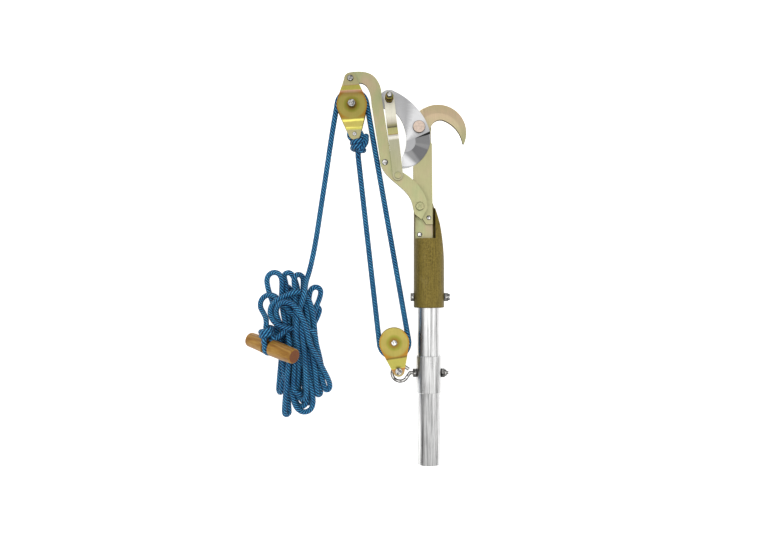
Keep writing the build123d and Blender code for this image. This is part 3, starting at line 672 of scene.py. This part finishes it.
# ---------------------------------------------------------------- metals
def along_axis(s, start, end, wander_mm=0.8):
    """How far a point is from one point towards another, in units of 100 mm, with 0.1 added."""
    start, end = Vector((*start, 0.0)) * MM, Vector((*end, 0.0)) * MM
    axis = (end - start).normalized()
    along = s.add("ShaderNodeVectorMath", operation="DOT_PRODUCT")
    s.link(s.place, along.inputs[0])
    along.inputs[1].default_value = axis
    far = s.math("SUBTRACT", along.outputs["Value"], start.dot(axis))
    wander = s.math("MULTIPLY_ADD", s.noise(90.0, 2.0), 2 * wander_mm * MM, -wander_mm * MM)
    return s.math("MULTIPLY_ADD", s.math("ADD", far, wander), 10.0, 0.1)


def plated_plate(name, base, pink, green, edge_shade, roughness, metallic=0.75, bands=None, ring=None,
                 film_share=0.12):
    """Zinc plate with a passivation film: soft pink and green patches and rolling lines; its side faces are
    painted darker as shade and made rougher. Optional bands of colour along it, which on the link and the
    cheeks are painted highlights, reflections and shade, and an optional ring round an axle, painted
    reflection and shade.
    """
    s = Shader(name)
    patches = s.noise(34.0, 3.0, 0.6, s.scaled((1.4, 0.7, 1.0)))
    plate_colour = s.ramp(patches, [(0.34, green), (0.5, base), (0.68, pink)])
    # bands of colour along the plate: on the link and the cheeks these are painted highlights, painted
    # reflections and painted shade
    if bands:
        start, end, stops = bands
        tint = s.ramp(along_axis(s, start, end), [(at / 10.0 + 0.1, colour) for at, colour in stops])
        plate_colour = s.mix(film_share, tint, plate_colour)
    # a ring round the axle, darker near it and orange further out: painted reflection and painted shade
    if ring:
        centre, stops = ring
        apart = s.add("ShaderNodeVectorMath", operation="DISTANCE")
        flat = s.add("ShaderNodeVectorMath", operation="MULTIPLY")
        s.link(s.place, flat.inputs[0])
        flat.inputs[1].default_value = (1.0, 1.0, 0.0)
        s.link(flat.outputs["Vector"], apart.inputs[0])
        apart.inputs[1].default_value = (centre[0] * MM, centre[1] * MM, 0.0)
        tint = s.ramp(s.math("MULTIPLY", apart.outputs["Value"], 20.0), [(at / 50.0, c) for at, c in stops])
        belly = s.ramp(along_axis(s, *bands[:2]), [(0.27, 0.0), (0.31, 0.8), (0.62, 0.8), (0.66, 0.0)])
        plate_colour = s.mix(belly, plate_colour, tint, "MULTIPLY")
    grain = s.noise(70.0, 4.0, 0.65, s.scaled((9.0, 0.7, 9.0)))
    plate_colour = s.mix(0.22, plate_colour, s.ramp(grain, [(0.3, 0.55), (0.7, 1.0)]), "MULTIPLY")
    specks = s.ramp(s.cells(700.0), [(0.05, 0.72), (0.2, 1.0)])
    plate_colour = s.mix(0.30, plate_colour, specks, "MULTIPLY")
    facing = s.normal_z()
    # side faces are painted darker than the front with the edge colour: painted shade
    plate_colour = s.mix(1.0, plate_colour, s.ramp(facing, [(0.10, edge_shade), (0.50, (1.0, 1.0, 1.0))]), "MULTIPLY")
    s.bump(s.noise(1400.0, 3.0, 0.6, s.scaled((1.0, 0.18, 1.0))), 0.25, 0.00012)
    rough = s.math("MULTIPLY_ADD", s.noise(180.0, 4.0), 0.22, roughness - 0.11)
    rough = s.math("MAXIMUM", rough, s.math("MULTIPLY_ADD", facing, -0.9, 0.9))
    return s.finish(plate_colour, rough, metallic)


def bright_metal(name, base, roughness, scratch=600.0, side_shade=0.05, patch=0.16):
    """Plated fasteners: painted bright on top as a highlight and painted dark as shade where they turn away,
    with tool marks and dark blotches at random.
    """
    s = Shader(name)
    blotches = s.noise(300.0, 3.0)
    colour = s.mix(s.ramp(blotches, [(0.44, 0.0), (0.60, 1.0)]), base, tuple(c * patch for c in base))
    # bright on faces to the front, dark on faces turned away: painted highlight and painted shade
    fall = s.ramp(s.normal_z(), [(0.30, side_shade), (0.70, 0.25), (0.93, 0.80), (1.0, 1.0)])
    colour = s.mix(1.0, colour, fall, "MULTIPLY")
    rough = s.math("MULTIPLY_ADD", s.noise(scratch, 4.0), 0.3, roughness - 0.08)
    s.bump(s.noise(scratch * 3, 2.0), 0.18, 0.0001)
    return s.finish(colour, rough, 1.0)


def cast_bronze():
    """Painted sand casting: fine grit, draft lines down its length and worn high spots."""
    s = Shader("cast_bronze")
    coarse = s.noise(420.0, 4.0, 0.7)
    fine = s.noise(1300.0, 3.0, 0.6)
    lines = s.noise(75.0, 3.0, 0.6, s.scaled((16.0, 0.35, 16.0)))
    colour = s.ramp(coarse, [(0.32, rgb(122, 104, 36)), (0.52, rgb(140, 121, 46)), (0.70, rgb(156, 137, 60))])
    colour = s.mix(0.75, colour, s.ramp(lines, [(0.36, 0.50), (0.56, 1.0)]), "MULTIPLY")
    worn = s.ramp(s.noise(40.0, 4.0, 0.7), [(0.62, 0.0), (0.78, 1.0)])
    colour = s.mix(s.math("MULTIPLY", worn, 0.35), colour, rgb(176, 158, 92))
    # faces that turn away from the front are painted darker: painted shade
    colour = s.mix(1.0, colour, s.ramp(s.normal_z(), [(0.05, 0.30), (0.45, 0.72), (0.85, 1.0)]), "MULTIPLY")
    height = s.math("ADD", s.math("MULTIPLY", coarse, 0.6), s.math("MULTIPLY", fine, 0.4))
    height = s.math("ADD", height, s.math("MULTIPLY", lines, 0.8))
    s.bump(height, 0.7, 0.0004)
    rough = s.math("MULTIPLY_ADD", fine, 0.25, 0.42)
    return s.finish(colour, rough, 0.4)


def drawn_aluminium():
    """Mill-finish tube: lengthwise drawing streaks and dull patches."""
    s = Shader("aluminium_tube")
    streaks = s.noise(50.0, 5.0, 0.7, s.scaled((16.0, 0.25, 16.0)))
    patches = s.noise(60.0, 3.0, 0.6, s.scaled((1.0, 0.5, 1.0)))
    colour = s.ramp(streaks, [(0.34, rgb(140, 140, 140)), (0.62, rgb(244, 244, 243))])
    colour = s.mix(0.35, colour, s.ramp(patches, [(0.35, 0.62), (0.6, 1.0)]), "MULTIPLY")
    rough = s.math("MULTIPLY_ADD", patches, 0.25, 0.18)
    s.bump(streaks, 0.25, 0.0002)
    return s.finish(colour, rough, 1.0)


def ground_blade():
    """Ground steel: a brushed flat with a painted reflection that brightens it at its middle, and a hollow
    grind cut in facets, whose greys and bright tip are painted shade, reflection and highlight; faces turned
    away and a line along the cutting edge are painted dark as shade.
    """
    s = Shader("ground_steel")
    x, y, z = s.split(s.place)
    dx = s.math("SUBTRACT", x, BLADE_MIDDLE[0] * MM)
    dy = s.math("SUBTRACT", y, BLADE_MIDDLE[1] * MM)
    far = s.math("SQRT", s.math("ADD", s.math("MULTIPLY", dx, dx), s.math("MULTIPLY", dy, dy)))
    turn = s.math("ARCTAN2", dy, dx)
    cross = s.add("ShaderNodeCombineXYZ")
    s.link(s.math("MULTIPLY", turn, 30.0), cross.inputs[0])
    s.link(s.math("MULTIPLY", far, 40.0), cross.inputs[1])
    scratches = s.noise(2.0, 4.0, 0.7, cross.outputs[0])
    swirl = s.add("ShaderNodeCombineXYZ")
    s.link(s.math("MULTIPLY", turn, 0.7), swirl.inputs[0])
    s.link(s.math("MULTIPLY", far, 220.0), swirl.inputs[1])
    brushed = s.noise(3.0, 3.0, 0.6, swirl.outputs[0])
    # round the middle of the C, from -180 to 180 degrees
    share = s.math("MULTIPLY_ADD", turn, 0.5 / math.pi, 0.5)
    # the flat is painted brighter round the middle of the C and greyer towards its ends: a painted reflection
    flat = s.ramp(
        s.math("MULTIPLY_ADD", s.math("SUBTRACT", brushed, 0.5), 0.05, share),
        [(0.30, rgb(186, 186, 188)), (0.55, rgb(186, 186, 188)), (0.60, rgb(214, 214, 215)),
         (0.65, rgb(244, 244, 245)), (0.70, rgb(238, 238, 239)), (0.745, rgb(186, 186, 187)),
         (0.80, rgb(206, 206, 207)), (0.90, rgb(196, 196, 198))],
    )
    # each facet of the hollow grind gets its own grey by its angle round the C: painted shade and painted
    # reflection
    hollow = s.ramp(
        share,
        [(0.345, rgb(150, 150, 151)), (0.365, rgb(118, 118, 120)), (0.445, rgb(124, 124, 126)),
         (0.455, rgb(150, 150, 151)), (0.475, rgb(160, 160, 161)), (0.49, rgb(146, 146, 147)),
         (0.56, rgb(152, 152, 153))],
    )
    # the tip is ground on the other side of a straight line, and painted brighter there as a highlight
    tip = s.math("ADD", s.math("MULTIPLY", s.math("SUBTRACT", x, TIP_LINE[0] * MM), TIP_LINE[2]),
                 s.math("MULTIPLY", s.math("SUBTRACT", y, TIP_LINE[1] * MM), TIP_LINE[3]))
    hollow = s.mix(s.ramp(s.math("MULTIPLY_ADD", tip, 100.0, 0.5), [(0.42, 0.0), (0.52, 1.0)]), hollow,
                   s.ramp(s.math("MULTIPLY_ADD", tip, 50.0, 0.0),
                          [(0.02, rgb(170, 170, 171)), (0.12, rgb(210, 210, 212)),
                           (0.3, rgb(236, 236, 238))]))
    facing = s.normal_z()
    ground = s.ramp(facing, [(0.984, 1.0), (0.996, 0.0)])
    colour = s.mix(ground, flat, hollow)
    # faces turned away from the front are painted darker: painted shade
    colour = s.mix(1.0, colour, s.ramp(facing, [(0.55, 0.12), (0.93, 1.0)]), "MULTIPLY")
    colour = s.mix(0.3, colour, s.ramp(scratches, [(0.3, 0.7), (0.6, 1.0)]), "MULTIPLY")
    # a dark line painted along the cutting edge: painted shadow
    edge_shade = s.ramp(s.math("MULTIPLY", far, 20.0), [(0.655, 1.0), (0.675, 0.30)])
    colour = s.mix(ground, colour, s.mix(1.0, colour, edge_shade, "MULTIPLY"))
    s.bump(scratches, 0.2, 0.00015)
    rough = s.math("MULTIPLY_ADD", scratches, 0.2, 0.30)
    return s.finish(colour, rough, 0.8)


# ---------------------------------------------------------------- wood and rope
def varnished_wood():
    """Turned hardwood: grain along the toggle, darker end grain and one small knot."""
    s = Shader("varnished_wood")
    foot = Vector(HANDLE_FOOT) * MM
    axis = (Vector(HANDLE_HEAD) - Vector(HANDLE_FOOT)).normalized()
    turned = s.add("ShaderNodeMapping", vector_type="TEXTURE")
    s.link(s.place, turned.inputs["Vector"])
    turned.inputs["Location"].default_value = foot
    turned.inputs["Rotation"].default_value = Vector((0, 0, 1)).rotation_difference(axis).to_euler()
    own = turned.outputs["Vector"]
    waviness = s.noise(30.0, 3.0, 0.6, s.scaled((1.0, 1.0, 0.25), own))
    x, y, z = s.split(own)
    rings = s.math("SINE", s.math("ADD", s.math("MULTIPLY", x, 1500.0), s.math("MULTIPLY", waviness, 26.0)))
    pores = s.noise(160.0, 4.0, 0.7, s.scaled((8.0, 8.0, 0.5), own))
    colour = s.ramp(s.math("MULTIPLY_ADD", rings, 0.22, 0.5),
                    [(0.25, rgb(164, 116, 44)), (0.5, rgb(182, 134, 54)), (0.8, rgb(198, 154, 70))])
    dark_pores = s.ramp(pores, [(0.38, rgb(186, 156, 112)), (0.6, (1.0, 1.0, 1.0))])
    colour = s.mix(0.55, colour, dark_pores, "MULTIPLY")
    geometry = s.add("ShaderNodeNewGeometry")
    dot = s.add("ShaderNodeVectorMath", operation="DOT_PRODUCT")
    s.link(geometry.outputs["Normal"], dot.inputs[0])
    dot.inputs[1].default_value = axis
    end = s.ramp(s.math("ABSOLUTE", dot.outputs["Value"]), [(0.9, 0.0), (0.97, 1.0)])
    end_rings = s.math("SINE", s.math("MULTIPLY", s.math("SQRT", s.math("ADD", s.math("MULTIPLY", x, x),
                       s.math("MULTIPLY", y, y))), 4200.0))
    end_colour = s.ramp(s.math("MULTIPLY_ADD", end_rings, 0.3, s.math("MULTIPLY", pores, 0.8)),
                        [(0.2, rgb(104, 52, 14)), (0.7, rgb(150, 86, 30))])
    colour = s.mix(end, colour, end_colour)
    # the groove is painted darker: painted shade in the hollow round the rope
    length = (Vector(HANDLE_HEAD) - Vector(HANDLE_FOOT)).length * MM
    from_groove = s.math("ABSOLUTE", s.math("SUBTRACT", z, GROOVE_AT * length))
    groove_shade = s.ramp(s.math("MULTIPLY", from_groove, 100.0), [(0.35, 0.50), (0.62, 1.0)])
    colour = s.mix(1.0, colour, groove_shade, "MULTIPLY")
    # a small knot on the front
    knot_at = foot + axis * length * 0.56 + Vector((0, 0, HANDLE_R * MM * 0.82))
    apart = s.add("ShaderNodeVectorMath", operation="DISTANCE")
    s.link(s.place, apart.inputs[0])
    apart.inputs[1].default_value = knot_at
    colour = s.mix(s.ramp(s.math("MULTIPLY", apart.outputs["Value"], 100.0), [(0.12, 0.85), (0.26, 0.0)]),
                   colour, rgb(86, 46, 18))
    s.bump(pores, 0.2, 0.0002)
    rough = s.math("MULTIPLY_ADD", pores, 0.2, 0.40)
    return s.finish(colour, rough, 0.0, Specular_IOR_Level=0.3, Coat_Weight=0.12, Coat_Roughness=0.3)


def braided_rope():
    """Polypropylene braid: leaning ridges of stitches, each a bundle of fine yarns; the crowns are painted
    light as a highlight, the gaps between them dark as shade, and the rope's sides darker as shade.
    """
    s = Shader("blue_rope")
    uv = s.add("ShaderNodeTexCoord").outputs["UV"]
    u, v, _ = s.split(uv)
    a = s.math("ADD", s.math("MULTIPLY", u, float(RIDGES)), s.math("MULTIPLY", v, RIDGE_LEAN))
    b = s.math("SUBTRACT", s.math("MULTIPLY", u, float(RIDGES)), s.math("MULTIPLY", v, RIDGE_LEAN * 0.5))
    crown_a = s.math("MULTIPLY", s.math("PINGPONG", a, 0.5), 2.0)
    shifted = s.math("ADD", b, s.math("MULTIPLY", s.math("FLOOR", a), 0.5))
    crown_b = s.math("MULTIPLY", s.math("PINGPONG", shifted, 0.5), 2.0)
    round_a = s.math("SQRT", crown_a)
    round_b = s.math("SQRT", s.math("MAXIMUM", crown_b, 0.02))
    height = s.math("MULTIPLY", round_a, s.math("MULTIPLY_ADD", round_b, 0.3, 0.7))
    yarn = s.math("MULTIPLY_ADD", s.math("SINE", s.math("MULTIPLY", a, 31.0)), 0.5, 0.5)
    # colour runs from dark in the gaps, painted shade, to light on the crowns, painted highlight
    painted_crown_light = s.math("MULTIPLY", crown_a, s.math("MULTIPLY_ADD", crown_b, 0.3, 0.7))
    colour = s.ramp(painted_crown_light, [(0.10, rgb(5, 26, 64)), (0.30, rgb(16, 76, 128)), (0.56, rgb(44, 142, 198)),
                          (1.0, rgb(128, 212, 244))])
    colour = s.mix(0.10, colour, yarn, "OVERLAY")
    tone = s.noise(38.0, 3.0, 0.6)
    wear = s.ramp(tone, [(0.36, rgb(140, 170, 200)), (0.62, (1.0, 1.0, 1.0))])
    colour = s.mix(0.5, colour, wear, "MULTIPLY")
    # faces turned away from the front are painted darker: painted shade
    colour = s.mix(1.0, colour, s.ramp(s.normal_z(), [(0.0, 0.50), (0.45, 0.78), (0.85, 1.0)]), "MULTIPLY")
    full = s.math("ADD", height, s.math("MULTIPLY", yarn, 0.12))
    s.bump(full, 1.0, 0.0012)
    rough = s.math("MULTIPLY_ADD", height, -0.15, 0.68)
    return s.finish(colour, rough, 0.0, Specular_IOR_Level=0.22, Sheen_Weight=0.08, Sheen_Roughness=0.4)


KHAKI = rgb(192, 188, 142)
# the edge colour here is painted shade on the cheeks' side faces
GOLD_TINTS_AND_SHADE = dict(pink=rgb(196, 140, 80), green=rgb(132, 146, 70), edge_shade=rgb(120, 84, 34), roughness=0.34)
TAB = rgb(196, 188, 142)
PINK = rgb(224, 172, 150)
# lemon yellow is a painted reflection on the cheeks' joggles
LEMON_PAINTED_REFLECTION = rgb(236, 226, 112)
OLIVE = rgb(176, 162, 82)
# colours along the cheeks from the hanger: lemon yellow bands are painted reflections on the joggles and the
# darker olive-browns beside them painted shade
UPPER_CHEEK_LIGHT_AND_SHADE = [(0.0, TAB), (0.86, TAB), (0.90, PINK), (1.0, LEMON_PAINTED_REFLECTION), (1.62, LEMON_PAINTED_REFLECTION), (1.72, PINK),
               (2.1, rgb(160, 132, 70)), (2.6, OLIVE), (5.55, OLIVE), (5.62, LEMON_PAINTED_REFLECTION), (5.85, LEMON_PAINTED_REFLECTION),
              (5.95, OLIVE),
               (6.6, OLIVE), (6.7, LEMON_PAINTED_REFLECTION),
               (6.95, LEMON_PAINTED_REFLECTION), (7.05, TAB)]
LOWER_CHEEK_LIGHT_AND_SHADE = [(-0.8, TAB), (0.3, rgb(190, 124, 60)), (0.45, LEMON_PAINTED_REFLECTION), (1.70, LEMON_PAINTED_REFLECTION), (1.85, rgb(120, 100, 46)),
               (2.1, OLIVE), (6.0, OLIVE)]
# round the axle, brownish near it and orange further out: painted shade and painted reflection
AXLE_REFLECTION_AND_SHADE = [(4.5, rgb(190, 150, 96)), (6.5, rgb(196, 176, 110)), (9.0, rgb(206, 226, 150)),
             (12.0, (1.0, 1.0, 1.0)),
             (17.5, (1.0, 1.0, 1.0)), (20.5, rgb(255, 190, 96))]
CREAM = rgb(252, 248, 228)
# colours down the link from its top pin: a dark band painted as shade in its concave bend and a bright band
# painted as a highlight on its convex bend
LINK_BANDS_WITH_PAINTED_BENDS = [(-0.8, CREAM), (2.3, CREAM), (3.1, rgb(214, 206, 186)), (3.55, rgb(150, 142, 96)),
              (3.85, rgb(70, 62, 26)),
              (3.98, rgb(230, 224, 146)), (4.85, rgb(234, 224, 140)), (4.95, rgb(190, 146, 66)),
              (5.05, rgb(255, 252, 240)),
              (5.5, rgb(244, 240, 224)), (5.7, rgb(176, 174, 144)), (9.6, rgb(176, 173, 134))]
# colours painted on the side faces of the link and of the khaki plates: painted shade
LINK_SIDE_SHADE = rgb(150, 140, 60)
KHAKI_SIDE_SHADE = rgb(84, 70, 36)
MATERIALS = {
    "yellow_zinc": plated_plate(
        "yellow_zinc", KHAKI, rgb(206, 186, 152), rgb(184, 188, 140), KHAKI_SIDE_SHADE, 0.42
    ),
    "bright_zinc": bright_metal("bright_zinc", rgb(232, 230, 226), 0.2),
    "copper_zinc": bright_metal("copper_zinc", rgb(236, 216, 200), 0.5, side_shade=0.12, patch=0.86),
    "cast_bronze": cast_bronze(),
    "ground_steel": ground_blade(),
    "spring_steel": bright_metal("spring_steel", rgb(150, 150, 150), 0.35, patch=0.5),
    "sheave_zinc": bright_metal("sheave_zinc", rgb(178, 176, 164), 0.42, patch=0.6),
    "aluminium_tube": drawn_aluminium(),
    "varnished_wood": varnished_wood(),
    "blue_rope": braided_rope(),
    "gold_zinc": plated_plate("gold_zinc", OLIVE, **GOLD_TINTS_AND_SHADE),
}
HOOK_BANDS = [(0.0, KHAKI), (4.6, KHAKI), (6.4, rgb(232, 214, 172)), (8.0, rgb(240, 208, 176)),
              (9.0, rgb(232, 206, 164))]
OWN_LOOKS = {
    "hook_plate": plated_plate(
        "yellow_zinc_hook", KHAKI, rgb(206, 186, 152), rgb(184, 188, 140), KHAKI_SIDE_SHADE, 0.42,
        bands=((0.0, 400.0), (0.0, 500.0), HOOK_BANDS), film_share=0.35
    ),
    "link_strap": plated_plate(
        "yellow_zinc_link", CREAM, rgb(238, 214, 196), rgb(214, 220, 180), LINK_SIDE_SHADE, 0.40,
        bands=((-55.0, 499.5), (-43.3, 395.0), LINK_BANDS_WITH_PAINTED_BENDS)
    ),
}
for block, hanger, sheave, bands in (
    ("upper", (-107.7, 526.5), (-105.6, 490.5), UPPER_CHEEK_LIGHT_AND_SHADE),
    ("lower", (-41.7, 128.2), (-48.0, 167.1), LOWER_CHEEK_LIGHT_AND_SHADE),
):
    cheek_look = plated_plate(
        f"gold_zinc_{block}", OLIVE, bands=(hanger, sheave, bands), ring=(sheave, AXLE_REFLECTION_AND_SHADE), **GOLD_TINTS_AND_SHADE
    )
    for side in ("front", "rear"):
        OWN_LOOKS[f"{block}_{side}_cheek"] = cheek_look
slot_of = {}
for entry in frame["record"]["subparts"]:
    slot_of[entry["node"]] = entry["material_slot"]
for name, node in nodes.items():
    look = OWN_LOOKS.get(name, MATERIALS[slot_of[name]])
    node.data.materials.clear()
    node.data.materials.append(look)
for rope in ROPES:
    rope.data.materials.append(MATERIALS["blue_rope"])


# ---------------------------------------------------------------- floor and light
def add_floor():
    size = 3.0
    mesh = bpy.data.meshes.new("floor")
    z = cad_box[0][2] - 0.0002
    corners = [(-size, -size, z), (size, -size, z), (size, size, z), (-size, size, z)]
    mesh.from_pydata(corners, [], [(0, 1, 2, 3)])
    floor = bpy.data.objects.new("floor", mesh)
    bpy.context.scene.collection.objects.link(floor)
    s = Shader("floor_paper")
    s.bump(s.noise(900.0, 2.0), 0.05, 0.0001)
    tone = s.ramp(s.noise(3.0, 1.0), [(0.3, 0.90), (0.7, 0.93)])
    floor.data.materials.append(
        s.finish(
            tone, 0.9, 0.0, Specular_IOR_Level=0.1,
            Emission_Color=(1.0, 1.0, 1.0, 1.0), Emission_Strength=0.80,
        )
    )


def add_light(name, at, aim, size, size_y, power):
    data = bpy.data.lights.new(name, "AREA")
    data.shape = "RECTANGLE"
    data.size = size
    data.size_y = size_y
    data.energy = power
    lamp = bpy.data.objects.new(name, data)
    lamp.location = at
    lamp.rotation_euler = (Vector(aim) - Vector(at)).to_track_quat("-Z", "Y").to_euler()
    bpy.context.scene.collection.objects.link(lamp)


def add_world():
    """A pale studio: bright overhead, dimmer towards the horizon."""
    world = bpy.data.worlds.new("studio")
    bpy.context.scene.world = world
    world.use_nodes = True
    tree = world.node_tree
    ground = tree.nodes["Background"]
    place = tree.nodes.new("ShaderNodeTexCoord")
    parts = tree.nodes.new("ShaderNodeSeparateXYZ")
    tree.links.new(place.outputs["Generated"], parts.inputs[0])
    ramp = tree.nodes.new("ShaderNodeValToRGB")
    tree.links.new(parts.outputs[2], ramp.inputs["Fac"])
    stops = [(0.0, 0.10), (0.30, 0.12), (0.55, 0.62), (0.78, 0.82), (0.90, 0.60), (1.0, 0.66)]
    band = ramp.color_ramp.elements
    while len(band) < len(stops):
        band.new(0.5)
    for element, (at, level) in zip(band, stops):
        element.position = at
        element.color = (level, level, level, 1.0)
    tree.links.new(ramp.outputs["Color"], ground.inputs["Color"])
    ground.inputs["Strength"].default_value = 1.0


add_floor()
add_world()
middle = (Vector(cad_box[0]) + Vector(cad_box[1])) / 2
add_light("key", middle + Vector((-0.42, 0.05, 1.25)), middle, 0.55, 2.0, 5.5)
add_light("fill", middle + Vector((1.3, -0.2, 0.8)), middle, 0.7, 1.4, 3.0)
bpy.context.scene.view_settings.view_transform = "Standard"

bpy.context.view_layer.update()
